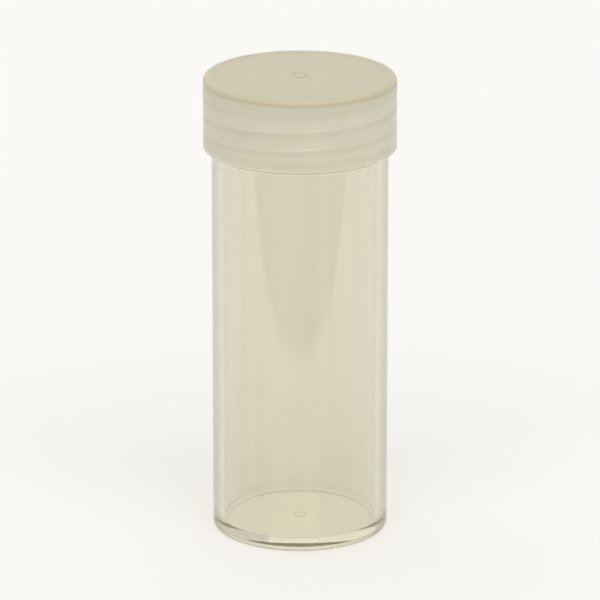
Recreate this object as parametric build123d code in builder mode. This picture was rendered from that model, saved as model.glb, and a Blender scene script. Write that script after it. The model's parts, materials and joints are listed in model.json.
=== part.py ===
from build123d import *
import os
from math import cos, radians, sin, tan

# Coin tube with a screw cap. Millimetres, +Z up, origin under the middle of the foot.

# The roll of coins that the tube is made for, lying flat on top of each other
coin_diameter = 24.26
coin_thickness = 1.75
coin_count = 40
coin_clearance = 0.54
stack_slack = 2.45

# Barrel, floor and foot of the tube
barrel_wall = 1.8
floor_web = 1.6
floor_corner_radius = 0.5
foot_recess = 0.4
foot_ring_width = 2.4
foot_edge_radius = 0.8

# Neck of the tube, thinner than the barrel, with a shoulder under the thread
neck_wall = 0.9
neck_root_radius = 0.3
shoulder_edge_radius = 0.3
rim_edge_radius = 0.25

# Thread, one right-handed start, with trapezoid ridges on the neck and in the cap
thread_pitch = 3.0
thread_height = 0.7
neck_ridge_root = 1.7
flank_angle = 30.0
flank_clearance = 0.2
crest_clearance = 0.25
ridge_sink = 0.25
ridge_ramp_angle = 24.0
neck_thread_low_gap = 0.5
neck_thread_top_gap = 0.6
cap_thread_top_gap = 0.4

# Cap
cap_height = 12.0
crown_thickness = 1.5
crown_edge_radius = 1.0
crown_corner_radius = 0.4
skirt_wall = 1.25
skirt_edge_radius = 0.3
skirt_gap = 0.4
seat_gap = 0.05

# Injection gate mark in the middle of the crown: a dimple with a low round stub in it
gate_dimple_diameter = 3.2
gate_dimple_depth = 0.3
gate_dimple_edge_radius = 0.15
gate_stub_diameter = 1.8
gate_stub_height = 0.2

# Radii about the axis, from the coin outwards
bore_radius = (coin_diameter + coin_clearance) / 2
barrel_radius = bore_radius + barrel_wall
neck_radius = bore_radius + neck_wall
neck_crest_radius = neck_radius + thread_height
skirt_radius = neck_crest_radius + crest_clearance
cap_crest_radius = neck_radius + crest_clearance
cap_radius = skirt_radius + skirt_wall
foot_recess_radius = barrel_radius - foot_ring_width

# Heights, from the foot upwards
floor_height = foot_recess + floor_web
rim_height = floor_height + coin_count * coin_thickness + stack_slack
crown_underside = rim_height + seat_gap
cap_top = crown_underside + crown_thickness
skirt_bottom = cap_top - cap_height
shoulder_height = skirt_bottom - skirt_gap

# Ridge widths: the cap's ridge fills the groove between the neck's ridges, less the clearance
flank_slope = tan(radians(flank_angle))
neck_ridge_crest = neck_ridge_root - 2 * thread_height * flank_slope
groove_root = thread_pitch - neck_ridge_root
cap_ridge_crest = groove_root + 2 * (crest_clearance * flank_slope - flank_clearance)
cap_ridge_root = cap_ridge_crest + 2 * (skirt_radius - cap_crest_radius) * flank_slope

# Both helices start on +X, the cap's half a pitch above the neck's, so each ridge runs mid-groove
neck_thread_start = shoulder_height + neck_thread_low_gap + neck_ridge_root / 2
neck_thread_end = rim_height - neck_thread_top_gap - neck_ridge_root / 2
cap_thread_start = neck_thread_start + thread_pitch / 2
cap_thread_end = crown_underside - cap_thread_top_gap - cap_ridge_root / 2


def polar(radius, angle):
    return (radius * cos(radians(angle)), radius * sin(radians(angle)))


def round_corner(sketch, corner, radius):
    fillet(sketch.vertices().sort_by_distance(corner)[0], radius)


def swept_ridge(root_radius, crest_radius, root_width, crest_width, start, end):
    outward = 1 if crest_radius > root_radius else -1
    sunk_radius = root_radius - outward * ridge_sink
    sunk_width = root_width + 2 * ridge_sink * flank_slope
    with BuildLine() as path:
        Helix(thread_pitch, end - start, root_radius, center=(0, 0, start))
    with BuildSketch(Plane.XZ) as ridge:
        with BuildLine():
            Polyline(
                (sunk_radius, start - sunk_width / 2),
                (crest_radius, start - crest_width / 2),
                (crest_radius, start + crest_width / 2),
                (sunk_radius, start + sunk_width / 2),
                close=True,
            )
        make_face()
    sweep(ridge.sketch, path.line, is_frenet=True)


def ramped_end(root_radius, crest_radius, height, angle, into_ridge):
    outward = 1 if crest_radius > root_radius else -1
    buried_radius = root_radius - outward * ridge_sink / 2
    clear_radius = crest_radius + outward * thread_height
    ramp_top = polar(crest_radius + outward * ridge_sink / 2, angle + into_ridge * ridge_ramp_angle)
    with BuildSketch(Plane.XY.offset(height - thread_pitch / 2)) as ramp:
        with BuildLine():
            Polyline(
                polar(buried_radius, angle),
                ramp_top,
                polar(clear_radius, angle + into_ridge * ridge_ramp_angle),
                polar(clear_radius, angle - into_ridge * ridge_ramp_angle / 4),
                polar(buried_radius, angle - into_ridge * ridge_ramp_angle / 4),
                close=True,
            )
        make_face()
    extrude(ramp.sketch, amount=thread_pitch, mode=Mode.SUBTRACT)


with BuildPart() as neck_thread:
    swept_ridge(
        neck_radius, neck_crest_radius, neck_ridge_root, neck_ridge_crest, neck_thread_start, neck_thread_end
    )
    ramped_end(neck_radius, neck_crest_radius, neck_thread_start, 0, 1)
    neck_turns = (neck_thread_end - neck_thread_start) / thread_pitch
    ramped_end(neck_radius, neck_crest_radius, neck_thread_end, 360 * neck_turns, -1)

with BuildPart() as cap_thread:
    swept_ridge(
        skirt_radius, cap_crest_radius, cap_ridge_root, cap_ridge_crest, cap_thread_start, cap_thread_end
    )
    ramped_end(skirt_radius, cap_crest_radius, cap_thread_start, 0, 1)
    cap_turns = (cap_thread_end - cap_thread_start) / thread_pitch
    ramped_end(skirt_radius, cap_crest_radius, cap_thread_end, 360 * cap_turns, -1)

with BuildPart() as tube:
    with BuildSketch(Plane.YZ) as tube_section:
        with BuildLine():
            Polyline(
                (0, foot_recess),
                (foot_recess_radius, foot_recess),
                (foot_recess_radius, 0),
                (barrel_radius, 0),
                (barrel_radius, shoulder_height),
                (neck_radius, shoulder_height),
                (neck_radius, rim_height),
                (bore_radius, rim_height),
                (bore_radius, floor_height),
                (0, floor_height),
                close=True,
            )
        make_face()
        round_corner(tube_section, (barrel_radius, 0), foot_edge_radius)
        round_corner(tube_section, (barrel_radius, shoulder_height), shoulder_edge_radius)
        round_corner(tube_section, (neck_radius, shoulder_height), neck_root_radius)
        round_corner(tube_section, (neck_radius, rim_height), rim_edge_radius)
        round_corner(tube_section, (bore_radius, rim_height), rim_edge_radius)
        round_corner(tube_section, (bore_radius, floor_height), floor_corner_radius)
    revolve(axis=Axis.Z)
    add(neck_thread.part)

with BuildPart() as cap:
    with BuildSketch(Plane.YZ) as cap_section:
        with BuildLine():
            Polyline(
                (0, crown_underside),
                (skirt_radius, crown_underside),
                (skirt_radius, skirt_bottom),
                (cap_radius, skirt_bottom),
                (cap_radius, cap_top),
                (gate_dimple_diameter / 2, cap_top),
                (gate_dimple_diameter / 2, cap_top - gate_dimple_depth),
                (0, cap_top - gate_dimple_depth),
                close=True,
            )
        make_face()
        round_corner(cap_section, (skirt_radius, crown_underside), crown_corner_radius)
        round_corner(cap_section, (skirt_radius, skirt_bottom), skirt_edge_radius)
        round_corner(cap_section, (cap_radius, skirt_bottom), skirt_edge_radius)
        round_corner(cap_section, (cap_radius, cap_top), crown_edge_radius)
        round_corner(cap_section, (gate_dimple_diameter / 2, cap_top), gate_dimple_edge_radius)
    revolve(axis=Axis.Z)
    add(cap_thread.part)

with BuildPart() as cap_gate_mark:
    with BuildSketch(Plane.XY.offset(cap_top - gate_dimple_depth)):
        Circle(gate_stub_diameter / 2)
    extrude(amount=gate_stub_height)

os.makedirs("parts", exist_ok=True)
tube.part.label = "tube"
cap.part.label = "cap"
cap_gate_mark.part.label = "cap_gate_mark"
export_step(tube.part, "parts/tube.step")
export_step(cap.part, "parts/cap.step")
export_step(cap_gate_mark.part, "parts/cap_gate_mark.step")

print(f"cap {2 * cap_radius:.2f} across, tube {2 * barrel_radius:.2f}, height {cap_top:.2f}")
print(f"neck thread {neck_turns:.2f} turns, cap thread {cap_turns:.2f} turns")
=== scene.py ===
import json
import math

import bpy
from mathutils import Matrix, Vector


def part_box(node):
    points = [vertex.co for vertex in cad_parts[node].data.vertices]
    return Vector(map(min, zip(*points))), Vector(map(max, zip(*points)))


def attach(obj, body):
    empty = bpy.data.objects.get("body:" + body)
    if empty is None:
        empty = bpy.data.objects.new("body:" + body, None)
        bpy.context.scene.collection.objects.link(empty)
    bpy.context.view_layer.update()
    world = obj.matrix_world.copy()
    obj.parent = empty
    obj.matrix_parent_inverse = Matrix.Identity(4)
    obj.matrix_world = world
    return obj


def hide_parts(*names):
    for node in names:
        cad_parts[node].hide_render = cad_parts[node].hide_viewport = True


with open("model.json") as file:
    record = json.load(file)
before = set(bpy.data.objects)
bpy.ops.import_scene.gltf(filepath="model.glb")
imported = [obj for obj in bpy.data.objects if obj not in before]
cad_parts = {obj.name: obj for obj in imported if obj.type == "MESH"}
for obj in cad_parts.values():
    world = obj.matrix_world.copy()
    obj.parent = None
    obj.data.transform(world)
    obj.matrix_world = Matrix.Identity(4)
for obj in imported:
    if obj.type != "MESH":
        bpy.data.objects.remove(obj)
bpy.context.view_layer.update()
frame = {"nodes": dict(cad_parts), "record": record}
mm = 0.001
print("frame loaded, nodes:", ", ".join(sorted(frame["nodes"])))


def linearColour(hexColour):
    # The standard sRGB curve, with full opacity added
    shares = [int(hexColour[i:i + 2], 16) / 255 for i in (1, 3, 5)]
    return [s / 12.92 if s <= 0.04045 else ((s + 0.055) / 1.055) ** 2.4 for s in shares] + [1.0]


def addNode(tree, kind, inputs=None, **settings):
    # inputs: socket name or number -> plain value, a socket to link, or a node whose first output is linked
    node = tree.nodes.new(kind)
    for name, value in settings.items():
        setattr(node, name, value)
    for key, value in (inputs or {}).items():
        if isinstance(value, bpy.types.Node):
            value = value.outputs[0]
        if isinstance(value, bpy.types.NodeSocket):
            tree.links.new(value, node.inputs[key])
        else:
            node.inputs[key].default_value = value
    return node


def newMaterial(name):
    material = bpy.data.materials.new(name)
    material.use_nodes = True
    material.node_tree.nodes.clear()
    return material, material.node_tree


# Sizes that the frame already fixes
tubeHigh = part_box("tube")[1]
capLow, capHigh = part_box("cap")
markLow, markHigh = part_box("cap_gate_mark")
boreMount = next(m for m in frame["record"]["mounts"] if m["name"] == "coin_bore")
boreRadius = boreMount["dims"]["r_mm"] * mm
pitch = frame["record"]["behaviour"]["couplings"][0]["ratio"] * 2 * math.pi

# Camera: a long lens looking down on the tube as the photograph does
cameraView = {
    "elevation": 18.0,
    "lens": 300.0,
    "sensor": 36.0,
    "fill": 0.84,            # share of the picture's height that the tube takes up
    "clipNear": 0.1,         # times the camera's distance
    "clipFar": 20.0,
}


def placeCamera():
    slope = math.radians(cameraView["elevation"])
    top = capHigh.z * math.cos(slope) + capHigh.x * math.sin(slope)
    bottom = -tubeHigh.x * math.sin(slope)
    middle = Vector((0, 0, (top + bottom) / 2 / math.cos(slope)))
    pictureHeight = (top - bottom) / cameraView["fill"]
    distance = pictureHeight * cameraView["lens"] / cameraView["sensor"]
    back = Vector((0, -math.cos(slope), math.sin(slope)))
    data = bpy.data.cameras.new("longLens")
    data.lens = cameraView["lens"]
    data.sensor_width = cameraView["sensor"]
    data.clip_start = distance * cameraView["clipNear"]
    data.clip_end = distance * cameraView["clipFar"]
    camera = bpy.data.objects.new("longLens", data)
    camera.location = middle + back * distance
    camera.rotation_euler = (-back).to_track_quat("-Z", "Y").to_euler()
    bpy.context.scene.collection.objects.link(camera)
    bpy.context.scene.camera = camera
    print(f"camera {distance:.2f} m away, {cameraView['elevation']:.0f} degrees above the horizon")


placeCamera()

# Studio: a pale floor, a soft dome and two broad soft lamps, from the front and from behind
studio = {
    "background": "#FCFAF7",
    "floor": "#FDFCFA",
    "floorReach": 3.0,
    "dome": "#FFFFFF",
    "domeStrength": 0.52,
    "card": "#2A2925",
    "cardNear": 102 * mm,          # from the axis to the dark card's straight edge
    "cardEdge": 20 * mm,           # width of that edge's fade
    "cardDark": 240 * mm,          # further than this from the axis the card fades out
    "cardFar": 600 * mm,
    "cardLift": 0.5 * mm,
}
lamps = {
    # colour, strength, degrees around from the camera towards +X, degrees up, softness in degrees
    "keyLamp": ("#FFFDF9", 1.76, 4.0, 43.0, 76.0),
    "rimLamp": ("#FFFFFF", 0.36, 200.0, 43.0, 76.0),
}


def paleWorld():
    world = bpy.data.worlds.new("paleStudio")
    world.use_nodes = True
    tree = world.node_tree
    tree.nodes.clear()
    path = addNode(tree, "ShaderNodeLightPath").outputs
    seen = addNode(tree, "ShaderNodeMath", {0: path["Is Camera Ray"], 1: path["Is Glossy Ray"]},
                   operation="MAXIMUM")
    seen = addNode(tree, "ShaderNodeMath", {0: seen, 1: path["Is Transmission Ray"]}, operation="MAXIMUM")
    dome = addNode(tree, "ShaderNodeBackground",
                   {"Color": linearColour(studio["dome"]), "Strength": studio["domeStrength"]})
    shown = addNode(tree, "ShaderNodeBackground", {"Color": linearColour(studio["background"])})
    mixed = addNode(tree, "ShaderNodeMixShader", {0: seen, 1: dome, 2: shown})
    addNode(tree, "ShaderNodeOutputWorld", {"Surface": mixed})
    bpy.context.scene.world = world


def softLamps():
    for name, (colour, strength, around, up, softness) in lamps.items():
        data = bpy.data.lights.new(name, "SUN")
        data.color = linearColour(colour)[:3]
        data.energy = strength
        data.angle = math.radians(softness)
        turn, rise = math.radians(around), math.radians(up)
        level = math.cos(rise)
        towards = Vector((math.sin(turn) * level, -math.cos(turn) * level, math.sin(rise)))
        lamp = bpy.data.objects.new(name, data)
        lamp.rotation_euler = (-towards).to_track_quat("-Z", "Y").to_euler()
        bpy.context.scene.collection.objects.link(lamp)


def paleFloor():
    reach = studio["floorReach"]
    mesh = bpy.data.meshes.new("floor")
    corners = [(-reach, -reach, 0), (reach, -reach, 0), (reach, reach, 0), (-reach, reach, 0)]
    mesh.from_pydata(corners, [], [(0, 1, 2, 3)])
    material, tree = newMaterial("mattePaper")
    paint = addNode(tree, "ShaderNodeBsdfDiffuse", {"Color": linearColour(studio["floor"])})
    addNode(tree, "ShaderNodeOutputMaterial", {"Surface": paint})
    mesh.materials.append(material)
    floor = bpy.data.objects.new("floor", mesh)
    bpy.context.scene.collection.objects.link(floor)


def darkCard():
    # A dark card on the floor in front of the tube, straight along its near edge and fading out further
    # off. It stands for an unlit room, and shows only as a soft reflection in the tube
    near, far, lift = studio["cardNear"], studio["cardFar"], studio["cardLift"]
    mesh = bpy.data.meshes.new("darkCard")
    corners = [(-far, -far, lift), (far, -far, lift), (far, -near, lift), (-far, -near, lift)]
    mesh.from_pydata(corners, [], [(0, 1, 2, 3)])
    material, tree = newMaterial("darkCard")
    place = addNode(tree, "ShaderNodeTexCoord").outputs["Object"]
    ahead = addNode(tree, "ShaderNodeSeparateXYZ", {0: place}).outputs["Y"]
    edge = addNode(tree, "ShaderNodeMapRange",
                   {"Value": ahead, "From Min": -near, "From Max": -near - studio["cardEdge"]},
                   interpolation_type="SMOOTHSTEP")
    away = addNode(tree, "ShaderNodeVectorMath", {0: place}, operation="LENGTH").outputs["Value"]
    fade = addNode(tree, "ShaderNodeMapRange",
                   {"Value": away, "From Min": far, "From Max": studio["cardDark"]},
                   interpolation_type="SMOOTHSTEP")
    shade = addNode(tree, "ShaderNodeMath", {0: edge, 1: fade}, operation="MULTIPLY")
    gone = addNode(tree, "ShaderNodeBsdfTransparent")
    paint = addNode(tree, "ShaderNodeBsdfDiffuse", {"Color": linearColour(studio["card"])})
    faded = addNode(tree, "ShaderNodeMixShader", {0: shade, 1: gone, 2: paint})
    addNode(tree, "ShaderNodeOutputMaterial", {"Surface": faded})
    mesh.materials.append(material)
    card = bpy.data.objects.new("darkCard", mesh)
    card.visible_camera = False
    card.visible_diffuse = False
    card.visible_transmission = False
    card.visible_shadow = False
    bpy.context.scene.collection.objects.link(card)


paleWorld()
softLamps()
paleFloor()
darkCard()
bpy.context.scene.view_settings.view_transform = "Standard"
print("studio lit")

# How finely the turned mouldings are stepped
sectionGrid = {
    "segments": 288,
    "arcSteps": 7,
    "guard": 0.06 * mm,      # rows this close to each rounded corner keep the flat next to it flat
    "plainStep": 2.6 * mm,
    "ridgeStep": 0.1 * mm,
    "weld": 0.001 * mm,
}


def turnedMoulding():
    # Turns a section (radius on X, height on Z) about the axis. A row may carry a ridge height: there one
    # helical ridge climbs by the pitch each turn and fades out at both ends. A minus sign turns it inwards
    tree = bpy.data.node_groups.new("turnedMoulding", "GeometryNodeTree")
    tree.interface.new_socket("Geometry", in_out="INPUT", socket_type="NodeSocketGeometry")
    tree.interface.new_socket("Segments", in_out="INPUT", socket_type="NodeSocketInt")
    for name in ("Pitch", "Ridge Start", "Ridge Turns", "Ramp Turns", "Root Half", "Crest Half"):
        tree.interface.new_socket(name, in_out="INPUT", socket_type="NodeSocketFloat")
    tree.interface.new_socket("Material", in_out="INPUT", socket_type="NodeSocketMaterial")
    tree.interface.new_socket("Geometry", in_out="OUTPUT", socket_type="NodeSocketGeometry")
    given = tree.nodes.new("NodeGroupInput").outputs

    # A grid with a column for each step round the axis and a row for each point of the section
    rows = addNode(tree, "GeometryNodeAttributeDomainSize", {"Geometry": given["Geometry"]},
                   component="MESH")
    columns = addNode(tree, "ShaderNodeMath", {0: given["Segments"], 1: 1.0}, operation="ADD")
    grid = addNode(tree, "GeometryNodeMeshGrid", {"Vertices X": columns, "Vertices Y": rows})
    index = addNode(tree, "GeometryNodeInputIndex")
    row = addNode(tree, "ShaderNodeMath", {0: index, 1: rows}, operation="MODULO")
    share = addNode(tree, "ShaderNodeMath", {0: index, 1: rows}, operation="DIVIDE")
    column = addNode(tree, "ShaderNodeMath", {0: share}, operation="FLOOR")
    lap = addNode(tree, "ShaderNodeMath", {0: column, 1: given["Segments"]}, operation="DIVIDE")
    angle = addNode(tree, "ShaderNodeMath", {0: lap, 1: 2 * math.pi}, operation="MULTIPLY")

    # Radius, height and ridge of this row of the section
    position = addNode(tree, "GeometryNodeInputPosition")
    place = addNode(tree, "GeometryNodeSampleIndex",
                    {"Geometry": given["Geometry"], "Value": position, "Index": row},
                    data_type="FLOAT_VECTOR")
    place = addNode(tree, "ShaderNodeSeparateXYZ", {0: place}).outputs
    carried = addNode(tree, "GeometryNodeInputNamedAttribute", {"Name": "ridgeHeight"}, data_type="FLOAT")
    height = addNode(tree, "GeometryNodeSampleIndex",
                     {"Geometry": given["Geometry"], "Value": carried, "Index": row}, data_type="FLOAT")

    # How far this point lies from the middle of the nearest turn, and how far along the ridge, in turns
    above = addNode(tree, "ShaderNodeMath", {0: place["Z"], 1: given["Ridge Start"]}, operation="SUBTRACT")
    climbed = addNode(tree, "ShaderNodeMath", {0: above, 1: given["Pitch"]}, operation="DIVIDE")
    ahead = addNode(tree, "ShaderNodeMath", {0: climbed, 1: lap}, operation="SUBTRACT")
    nearest = addNode(tree, "ShaderNodeMath", {0: ahead}, operation="ROUND")
    off = addNode(tree, "ShaderNodeMath", {0: ahead, 1: nearest}, operation="SUBTRACT")
    off = addNode(tree, "ShaderNodeMath", {0: off, 1: given["Pitch"]}, operation="MULTIPLY")
    off = addNode(tree, "ShaderNodeMath", {0: off}, operation="ABSOLUTE")
    along = addNode(tree, "ShaderNodeMath", {0: lap, 1: nearest}, operation="ADD")
    left = addNode(tree, "ShaderNodeMath", {0: given["Ridge Turns"], 1: along}, operation="SUBTRACT")
    toEnd = addNode(tree, "ShaderNodeMath", {0: along, 1: left}, operation="MINIMUM")

    # The ridge: rounded flanks between its root and its crest, ramps at its two ends
    flank = addNode(tree, "ShaderNodeMapRange",
                    {"Value": off, "From Min": given["Root Half"], "From Max": given["Crest Half"]},
                    interpolation_type="SMOOTHSTEP")
    ramp = addNode(tree, "ShaderNodeMapRange", {"Value": toEnd, "From Max": given["Ramp Turns"]},
                   interpolation_type="SMOOTHSTEP")
    lift = addNode(tree, "ShaderNodeMath", {0: flank, 1: ramp}, operation="MULTIPLY")
    radius = addNode(tree, "ShaderNodeMath", {0: lift, 1: height, 2: place["X"]}, operation="MULTIPLY_ADD")
    cosine = addNode(tree, "ShaderNodeMath", {0: angle}, operation="COSINE")
    sine = addNode(tree, "ShaderNodeMath", {0: angle}, operation="SINE")
    x = addNode(tree, "ShaderNodeMath", {0: radius, 1: cosine}, operation="MULTIPLY")
    y = addNode(tree, "ShaderNodeMath", {0: radius, 1: sine}, operation="MULTIPLY")
    point = addNode(tree, "ShaderNodeCombineXYZ", {"X": x, "Y": y, "Z": place["Z"]})
    turned = addNode(tree, "GeometryNodeSetPosition", {"Geometry": grid, "Position": point})

    # Closing the seam and the two poles
    closed = addNode(tree, "GeometryNodeMergeByDistance",
                     {"Geometry": turned, "Distance": sectionGrid["weld"]})
    smooth = addNode(tree, "GeometryNodeSetShadeSmooth", {"Geometry": closed})
    real = addNode(tree, "GeometryNodeRealizeInstances", {"Geometry": smooth})
    painted = addNode(tree, "GeometryNodeSetMaterial", {"Geometry": real, "Material": given["Material"]})
    addNode(tree, "NodeGroupOutput", {"Geometry": painted})
    return tree


moulding = turnedMoulding()


def sectionRows(corners):
    # corners: radius, height, how far from the corner its rounding starts, ridge height on the run after it
    places = [Vector(c[:2]) for c in corners]
    arcs = [[places[0]]]
    for before, corner, after, data in zip(places, places[1:], places[2:], corners[1:]):
        start = corner + (before - corner).normalized() * data[2]
        end = corner + (after - corner).normalized() * data[2]
        centre = start + end - corner
        turns = [math.pi / 2 * i / sectionGrid["arcSteps"] for i in range(sectionGrid["arcSteps"] + 1)]
        arcs.append([centre + (start - centre) * math.cos(t) + (end - centre) * math.sin(t) for t in turns])
    arcs.append([places[-1]])
    rows = []
    guard = sectionGrid["guard"]
    for arc, nextArc, data in zip(arcs, arcs[1:], corners):
        rows += [(p.x, p.y, 0.0) for p in arc]
        run = nextArc[0] - arc[-1]
        plain = run.length - 2 * guard
        if plain > guard:
            count = math.ceil(plain / sectionGrid["ridgeStep" if data[3] else "plainStep"])
            shares = [(guard + plain * i / count) / run.length for i in range(count + 1)]
            rows += [((arc[-1] + run * s).x, (arc[-1] + run * s).y, data[3]) for s in shares]
    return rows + [(arcs[-1][0].x, arcs[-1][0].y, 0.0)]


def turnPiece(name, corners, ridge, material, body, node):
    rows = sectionRows(corners)
    section = bpy.data.meshes.new(name)
    section.from_pydata([(r, 0, z) for r, z, h in rows], [(i, i + 1) for i in range(len(rows) - 1)], [])
    heights = section.attributes.new("ridgeHeight", "FLOAT", "POINT")
    heights.data.foreach_set("value", [h for r, z, h in rows])
    piece = bpy.data.objects.new(name, section)
    bpy.context.scene.collection.objects.link(piece)
    turning = piece.modifiers.new("turning", "NODES")
    turning.node_group = moulding
    values = {"Segments": sectionGrid["segments"], "Pitch": pitch, "Material": material, **ridge}
    for socket in moulding.interface.items_tree:
        if socket.in_out == "INPUT" and socket.name in values:
            turning[socket.identifier] = values[socket.name]
    graph = bpy.context.evaluated_depsgraph_get()
    solid = bpy.data.meshes.new_from_object(piece.evaluated_get(graph), depsgraph=graph)
    piece.modifiers.clear()
    piece.data = solid
    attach(piece, body)
    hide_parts(node)
    print(f"{name}: {len(rows)} rows, {len(solid.polygons)} faces")


# Thread, shared by the neck and the cap: one right-hand start
thread = {
    "height": 0.7 * mm,
    "neckRoot": 1.7 * mm,
    "flankSlope": math.tan(math.radians(30)),      # flanks 30 degrees off square
    "flankGap": 0.2 * mm,
    "crestGap": 0.25 * mm,
    "rampTurns": 24 / 360,         # the ridge rises over 24 degrees at each end
}
neckCrest = thread["neckRoot"] - 2 * thread["height"] * thread["flankSlope"]
capCrest = pitch - thread["neckRoot"] + 2 * (thread["crestGap"] * thread["flankSlope"] - thread["flankGap"])
capRoot = capCrest + 2 * thread["height"] * thread["flankSlope"]

# Tube
tube = {
    "recess": 0.4 * mm,
    "floorTop": 2.0 * mm,
    "ringWidth": 2.4 * mm,
    "ringEdge": 0.12 * mm,
    "footEdge": 0.8 * mm,
    "neckWall": 0.9 * mm,
    "shoulderDrop": 0.4 * mm,      # shoulder below the cap's skirt
    "shoulderEdge": 0.3 * mm,
    "rimEdge": 0.25 * mm,
    "floorCorner": 0.5 * mm,
    "threadLowGap": 0.5 * mm,
    "threadTopGap": 0.6 * mm,
    "gateRadius": 0.9 * mm,        # broken-off gate under the floor
    "gateHeight": 0.22 * mm,
    "gateEdge": 0.08 * mm,
}
polystyrene = {
    "ior": 1.59,
    "cast": "#F2F0E6",             # what one wall lets through
    "streak": "#EFEDE1",           # the same along a flow line
    "outlineCastAndShade": "#ADA588",        # the same near the barrel's outline: partly the longer way through the wall, partly painted shade along the outline
    "slantFrom": 0.4,              # 0 is head on and 1 is edge on
    "slantTo": 0.85,
    "throughLight": "#FDFCFA",     # what one face lets through to the lamps
    "insideBounces": 3,
    "mirrored": 0.99,              # share sent back from where light is caught inside the wall
    "guidedLight": "#A8A28E",      # what is left of light that has run far inside the wall
    "polished": 0.012,             # roughness, clean and scuffed
    "scuffed": 0.07,
    "absorbed": "#CBC5AE",
    "density": 32.0,
    "flowWidth": 2.6 * mm,
    "flowLength": 60 * mm,
    "flowDepth": 0.004 * mm,
    "flowStrength": 0.5,
    "flowDetail": 3.0,
    "flowLow": 0.35,               # noise where a flow line starts to show and where it is full
    "flowHigh": 0.65,
    "scuffSize": 7 * mm,
    "scuffDetail": 6.0,
    "scuffGrit": 0.7,
    "scuffLow": 0.5,               # noise where a scuff starts to show and where it is full
    "scuffHigh": 0.75,
}


def clearPolystyrene():
    # Crystal polystyrene out of a polished mould: clear and bright, a warm cast where light runs far inside
    # the wall, painted shade along the barrel's outline, faint flow lines along the barrel and a few
    # handling scuffs that only break the gloss
    material, tree = newMaterial("clearPolystyrene")
    place = addNode(tree, "ShaderNodeTexCoord").outputs["Object"]
    stretch = [1 / polystyrene["flowWidth"], 1 / polystyrene["flowWidth"], 1 / polystyrene["flowLength"]]
    drawn = addNode(tree, "ShaderNodeMapping", {"Vector": place, "Scale": stretch})
    flow = addNode(tree, "ShaderNodeTexNoise",
                   {"Vector": drawn, "Scale": 1.0, "Detail": polystyrene["flowDetail"]})
    relief = addNode(tree, "ShaderNodeBump",
                     {"Height": flow, "Strength": polystyrene["flowStrength"],
                      "Distance": polystyrene["flowDepth"]})
    rubbed = addNode(tree, "ShaderNodeTexNoise",
                     {"Vector": place, "Scale": 1 / polystyrene["scuffSize"],
                      "Detail": polystyrene["scuffDetail"], "Roughness": polystyrene["scuffGrit"]})
    gloss = addNode(tree, "ShaderNodeMapRange",
                    {"Value": rubbed,
                     "From Min": polystyrene["scuffLow"], "From Max": polystyrene["scuffHigh"],
                     "To Min": polystyrene["polished"], "To Max": polystyrene["scuffed"]})
    flowed = addNode(tree, "ShaderNodeMapRange",
                     {"Value": flow,
                      "From Min": polystyrene["flowLow"], "From Max": polystyrene["flowHigh"]})
    cast = addNode(tree, "ShaderNodeMix", {"Factor": flowed, 6: linearColour(polystyrene["cast"]),
                                           7: linearColour(polystyrene["streak"])}, data_type="RGBA")
    # Partly painted shade: the cast darkens near the barrel's outline, beyond the longer way through the
    # wall
    facing = addNode(tree, "ShaderNodeLayerWeight").outputs["Facing"]
    slant = addNode(tree, "ShaderNodeMapRange",
                    {"Value": facing,
                     "From Min": polystyrene["slantFrom"], "From Max": polystyrene["slantTo"]},
                    interpolation_type="SMOOTHSTEP")
    flat = addNode(tree, "ShaderNodeMapping", {"Vector": place, "Scale": (1, 1, 0)})
    radius = addNode(tree, "ShaderNodeVectorMath", {0: flat}, operation="LENGTH").outputs["Value"]
    outside = addNode(tree, "ShaderNodeMapRange",
                      {"Value": radius, "From Min": boreRadius, "From Max": tubeHigh.x})
    slant = addNode(tree, "ShaderNodeMath", {0: slant, 1: outside}, operation="MULTIPLY")
    cast = addNode(tree, "ShaderNodeMix", {"Factor": slant, 6: cast.outputs[2],
                                           7: linearColour(polystyrene["outlineCastAndShade"])}, data_type="RGBA")
    clear = addNode(tree, "ShaderNodeBsdfPrincipled",
                    {"Base Color": cast.outputs[2], "Roughness": gloss,
                     "IOR": polystyrene["ior"], "Transmission Weight": 1.0, "Normal": relief})

    # Light on its way to the floor and the cap passes straight through, as it nearly does through a thin
    # wall. Light that has been mirrored a few times inside the wall, and would be again, leaves it with a
    # tint, because the foot would look black otherwise. Depths are whole numbers: the half lies between two
    path = addNode(tree, "ShaderNodeLightPath").outputs
    lighting = addNode(tree, "ShaderNodeMath", {0: path["Is Shadow Ray"], 1: path["Is Diffuse Ray"]},
                       operation="MAXIMUM")
    late = addNode(tree, "ShaderNodeMath", {0: path["Glossy Depth"], 1: polystyrene["insideBounces"] - 0.5},
                   operation="GREATER_THAN")
    mirrored = addNode(tree, "ShaderNodeFresnel", {"IOR": polystyrene["ior"]})
    caught = addNode(tree, "ShaderNodeMath", {0: mirrored, 1: polystyrene["mirrored"]},
                     operation="GREATER_THAN")
    leaving = addNode(tree, "ShaderNodeMath", {0: late, 1: caught}, operation="MULTIPLY")
    straight = addNode(tree, "ShaderNodeMath", {0: lighting, 1: leaving}, operation="MAXIMUM")
    first = addNode(tree, "ShaderNodeMath", {0: path["Transparent Depth"], 1: 0.5}, operation="LESS_THAN")
    guided = addNode(tree, "ShaderNodeMath", {0: leaving, 1: first}, operation="MULTIPLY")
    left = addNode(tree, "ShaderNodeMix", {"Factor": guided, 6: linearColour(polystyrene["throughLight"]),
                                           7: linearColour(polystyrene["guidedLight"])}, data_type="RGBA")
    passing = addNode(tree, "ShaderNodeBsdfTransparent", {"Color": left.outputs[2]})
    shader = addNode(tree, "ShaderNodeMixShader", {0: straight, 1: clear, 2: passing})
    inside = addNode(tree, "ShaderNodeVolumeAbsorption",
                     {"Color": linearColour(polystyrene["absorbed"]), "Density": polystyrene["density"]})
    addNode(tree, "ShaderNodeOutputMaterial", {"Surface": shader, "Volume": inside})
    return material


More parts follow.
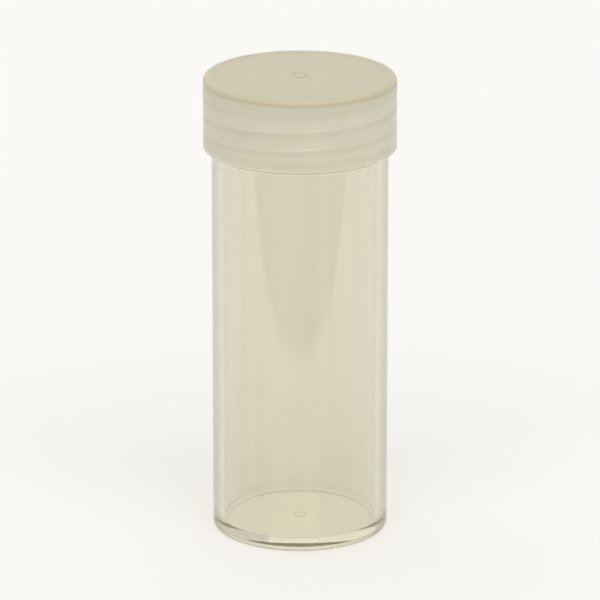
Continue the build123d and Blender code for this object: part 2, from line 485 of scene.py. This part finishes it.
def makeTube():
    barrel, rim = tubeHigh.x, tubeHigh.z
    shoulder = capLow.z - tube["shoulderDrop"]
    neck = boreRadius + tube["neckWall"]
    ring = barrel - tube["ringWidth"]
    corners = [
        (0, tube["recess"] - tube["gateHeight"], 0, 0),
        (tube["gateRadius"], tube["recess"] - tube["gateHeight"], tube["gateEdge"], 0),
        (tube["gateRadius"], tube["recess"], tube["gateEdge"], 0),
        (ring, tube["recess"], tube["ringEdge"], 0),
        (ring, 0, tube["ringEdge"], 0),
        (barrel, 0, tube["footEdge"], 0),
        (barrel, shoulder, tube["shoulderEdge"], 0),
        (neck, shoulder, tube["shoulderEdge"], thread["height"]),
        (neck, rim, tube["rimEdge"], 0),
        (boreRadius, rim, tube["rimEdge"], 0),
        (boreRadius, tube["floorTop"], tube["floorCorner"], 0),
        (0, tube["floorTop"], 0, 0),
    ]
    start = shoulder + tube["threadLowGap"] + thread["neckRoot"] / 2
    end = rim - tube["threadTopGap"] - thread["neckRoot"] / 2
    ridge = {"Ridge Start": start, "Ridge Turns": (end - start) / pitch, "Ramp Turns": thread["rampTurns"],
             "Root Half": thread["neckRoot"] / 2, "Crest Half": neckCrest / 2}
    turnPiece("clear_tube", corners, ridge, clearPolystyrene(), "tube", "tube")
    return start, neck


neckStart, neckRadius = makeTube()

# Cap
cap = {
    "crown": 1.5 * mm,
    "crownEdge": 1.0 * mm,
    "innerCorner": 0.4 * mm,
    "skirtEdge": 0.3 * mm,
    "threadTopGap": 0.4 * mm,
    "rimWidth": 0.35 * mm,         # flat rim outside the witness step of the crown
    "rimStep": 0.08 * mm,
    "rimEdge": 0.03 * mm,
    "dimpleRadius": 1.6 * mm,
    "dimpleSlope": 0.5 * mm,       # how far in its side slopes
    "dimpleEdge": 0.2 * mm,
    "sinkDepth": 0.05 * mm,        # the skirt draws in a little over the thick ridge behind it
}
polypropylene = {
    "ior": 1.49,
    # the skirt's two tones: random cloud mixes them, and so do the bands of painted light and shade of the
    # thread inside
    "groove": "#C1BDAA",
    "ridge": "#CFCBBC",
    "crown": "#BFB89D",            # painted shade on the top: darker than the skirt against the stronger light from above, and the crown has only air behind it, so it sends back less light
    "paintedEdgeShade": "#B7B098",             # painted shade along the crown's edge
    "scatter": 2.5 * mm,
    "scatterReach": (1.0, 0.97, 0.9),      # red, green and blue
    "roughness": 0.38,
    "satinSpread": 0.06,           # how far the grain takes the roughness up and down
    "grain": 0.5 * mm,             # spark-eroded grain, drawn coarser than real so that it shows
    "grainDepth": 0.012 * mm,
    "grainStrength": 0.4,
    "grainDetail": 2.0,
    "noiseLow": 0.3,               # most of the noise lies between these two
    "noiseHigh": 0.7,
    "cloud": 5 * mm,
    "cloudDetail": 3.0,
    "cloudLow": 0.3,               # from the groove's tone, 0, to the ridge's, 1
    "cloudHigh": 0.55,
    "bandStep": 0.45,              # the same, for how much paler a band is
    "lineWidth": 0.8 * mm,         # dark line between two bands
    "edgeLine": 0.9 * mm,          # depth of the painted dark line of shade along the crown's edge
    "edgeShadeReach": 0.7,              # how far it fades out, as a share of that depth
}
capThreadStart = neckStart + pitch / 2
capThreadEnd = capHigh.z - cap["crown"] - cap["threadTopGap"] - capRoot / 2


def bandedColour(tree, place):
    # Painted light and shade of the thread inside: slanting bands on the skirt, paler where the wall is
    # thick, with fine dark lines between them, half a pitch from the middle of the ridge
    axes = addNode(tree, "ShaderNodeSeparateXYZ", {0: place}).outputs
    angle = addNode(tree, "ShaderNodeMath", {0: axes["Y"], 1: axes["X"]}, operation="ARCTAN2")
    lap = addNode(tree, "ShaderNodeMath", {0: angle, 1: 2 * math.pi}, operation="DIVIDE")
    above = addNode(tree, "ShaderNodeMath", {0: axes["Z"], 1: capThreadStart}, operation="SUBTRACT")
    climbed = addNode(tree, "ShaderNodeMath", {0: above, 1: pitch}, operation="DIVIDE")
    ahead = addNode(tree, "ShaderNodeMath", {0: climbed, 1: lap}, operation="SUBTRACT")
    nearest = addNode(tree, "ShaderNodeMath", {0: ahead}, operation="ROUND")
    off = addNode(tree, "ShaderNodeMath", {0: ahead, 1: nearest}, operation="SUBTRACT")
    off = addNode(tree, "ShaderNodeMath", {0: off}, operation="ABSOLUTE")
    lineShare = polypropylene["lineWidth"] / pitch
    band = addNode(tree, "ShaderNodeMapRange",
                   {"Value": off, "From Min": 0.5 - lineShare / 4, "From Max": 0.5 - lineShare},
                   interpolation_type="SMOOTHSTEP")
    low = addNode(tree, "ShaderNodeMapRange",
                  {"Value": axes["Z"],
                   "From Min": capThreadStart - capRoot / 2, "From Max": capThreadStart},
                  interpolation_type="SMOOTHSTEP")
    high = addNode(tree, "ShaderNodeMapRange",
                   {"Value": axes["Z"],
                    "From Min": capThreadEnd + capRoot / 2, "From Max": capThreadEnd},
                   interpolation_type="SMOOTHSTEP")
    band = addNode(tree, "ShaderNodeMath", {0: band, 1: low}, operation="MULTIPLY")
    band = addNode(tree, "ShaderNodeMath", {0: band, 1: high}, operation="MULTIPLY")

    # Cloudy plastic, and painted paler on the bands
    cloud = addNode(tree, "ShaderNodeTexNoise",
                    {"Vector": place, "Scale": 1 / polypropylene["cloud"],
                     "Detail": polypropylene["cloudDetail"]})
    shade = addNode(tree, "ShaderNodeMapRange",
                    {"Value": cloud,
                     "From Min": polypropylene["noiseLow"], "From Max": polypropylene["noiseHigh"],
                     "To Min": polypropylene["cloudLow"], "To Max": polypropylene["cloudHigh"]})
    tone = addNode(tree, "ShaderNodeMath", {0: band, 1: polypropylene["bandStep"], 2: shade},
                   operation="MULTIPLY_ADD")
    milky = addNode(tree, "ShaderNodeMix", {"Factor": tone, 6: linearColour(polypropylene["groove"]),
                                            7: linearColour(polypropylene["ridge"])}, data_type="RGBA")

    # Crown, painted darker as shade on the top, and a painted dark line of shade along its edge
    edge = capHigh.z - polypropylene["edgeLine"]
    crown = addNode(tree, "ShaderNodeMapRange",
                    {"Value": axes["Z"],
                     "From Min": edge, "From Max": capHigh.z - polypropylene["edgeLine"] / 2},
                    interpolation_type="SMOOTHSTEP")
    milky = addNode(tree, "ShaderNodeMix", {"Factor": crown, 6: milky.outputs[2],
                                            7: linearColour(polypropylene["crown"])}, data_type="RGBA")
    # Painted shade: a dark line along the crown's edge
    fromEdge = addNode(tree, "ShaderNodeMath", {0: axes["Z"], 1: edge}, operation="SUBTRACT")
    fromEdge = addNode(tree, "ShaderNodeMath", {0: fromEdge}, operation="ABSOLUTE")
    paintedEdgeShade = addNode(tree, "ShaderNodeMapRange",
                   {"Value": fromEdge,
                    "From Min": polypropylene["edgeLine"] * polypropylene["edgeShadeReach"], "From Max": 0.0},
                   interpolation_type="SMOOTHSTEP")
    milky = addNode(tree, "ShaderNodeMix", {"Factor": paintedEdgeShade, 6: milky.outputs[2],
                                            7: linearColour(polypropylene["paintedEdgeShade"])}, data_type="RGBA")
    return milky.outputs[2]


def naturalPolypropylene(name, scatter, tone=None):
    # Unpigmented polypropylene with a fine satin mould finish: milky and waxy, and soft light runs inside
    # it. It has one plain tone, or the cap's bands where no tone is given
    material, tree = newMaterial(name)
    place = addNode(tree, "ShaderNodeTexCoord").outputs["Object"]
    colour = linearColour(tone) if tone else bandedColour(tree, place)
    grain = addNode(tree, "ShaderNodeTexNoise",
                    {"Vector": place, "Scale": 1 / polypropylene["grain"],
                     "Detail": polypropylene["grainDetail"]})
    satin = addNode(tree, "ShaderNodeMapRange",
                    {"Value": grain,
                     "From Min": polypropylene["noiseLow"], "From Max": polypropylene["noiseHigh"],
                     "To Min": polypropylene["roughness"] - polypropylene["satinSpread"],
                     "To Max": polypropylene["roughness"] + polypropylene["satinSpread"]})
    relief = addNode(tree, "ShaderNodeBump",
                     {"Height": grain, "Strength": polypropylene["grainStrength"],
                      "Distance": polypropylene["grainDepth"]})
    shader = addNode(tree, "ShaderNodeBsdfPrincipled",
                     {"Base Color": colour, "Roughness": satin, "IOR": polypropylene["ior"],
                      "Subsurface Weight": 1.0, "Subsurface Radius": polypropylene["scatterReach"],
                      "Subsurface Scale": scatter, "Normal": relief})
    addNode(tree, "ShaderNodeOutputMaterial", {"Surface": shader})
    return material


milkyPlastic = naturalPolypropylene("naturalPolypropylene", polypropylene["scatter"])


def makeCap():
    outer, top, bottom = capHigh.x, capHigh.z, capLow.z
    inner = neckRadius + thread["height"] + thread["crestGap"]
    underside = top - cap["crown"]
    disc = outer - cap["crownEdge"] - cap["rimWidth"]
    face = top - cap["rimStep"]
    corners = [
        (0, underside, 0, 0),
        (inner, underside, cap["innerCorner"], -thread["height"]),
        (inner, bottom, cap["skirtEdge"], 0),
        (outer, bottom, cap["skirtEdge"], -cap["sinkDepth"]),
        (outer, top, cap["crownEdge"], 0),
        (disc, top, cap["rimEdge"], 0),
        (disc, face, cap["rimEdge"], 0),
        (cap["dimpleRadius"], face, cap["dimpleEdge"], 0),
        (cap["dimpleRadius"] - cap["dimpleSlope"], markLow.z, cap["dimpleEdge"], 0),
        (0, markLow.z, 0, 0),
    ]
    ridge = {"Ridge Start": capThreadStart, "Ridge Turns": (capThreadEnd - capThreadStart) / pitch,
             "Ramp Turns": thread["rampTurns"], "Root Half": capRoot / 2, "Crest Half": capCrest / 2}
    turnPiece("screw_cap", corners, ridge, milkyPlastic, "cap", "cap")


makeCap()

# Gate mark in the dimple of the crown
gate = {
    "segments": 72,
    "lift": 0.01 * mm,             # keeps it clear of the dimple's floor
    "tone": "#C9C3AC",             # as dark as the crown looks, so it carries the crown's painted shade
    "scatter": 0.1 * mm,           # too thin to scatter light far
    "edge": 0.08 * mm,
    "tipRadius": 0.45 * mm,
    "tipHeight": 0.07 * mm,
    "tipEdge": 0.03 * mm,
}
# No row of the mark carries a ridge, so these only keep the sums of the tree finite
noRidge = {"Ridge Start": 0.0, "Ridge Turns": 0.0, "Ramp Turns": 1.0,
           "Root Half": 0.001, "Crest Half": 0.0005}


def makeGateMark():
    radius, low, high = markHigh.x, markLow.z + gate["lift"], markHigh.z
    step = high - gate["tipHeight"]
    corners = [
        (0, low, 0, 0),
        (radius, low, gate["tipEdge"], 0),
        (radius, step, gate["edge"], 0),
        (gate["tipRadius"], step, gate["tipEdge"], 0),
        (gate["tipRadius"], high, gate["tipEdge"], 0),
        (0, high, 0, 0),
    ]
    ridge = {"Segments": gate["segments"], **noRidge}
    plastic = naturalPolypropylene("naturalPolypropyleneNub", gate["scatter"], gate["tone"])
    turnPiece("gate_mark", corners, ridge, plastic, "cap_lift", "cap_gate_mark")


makeGateMark()
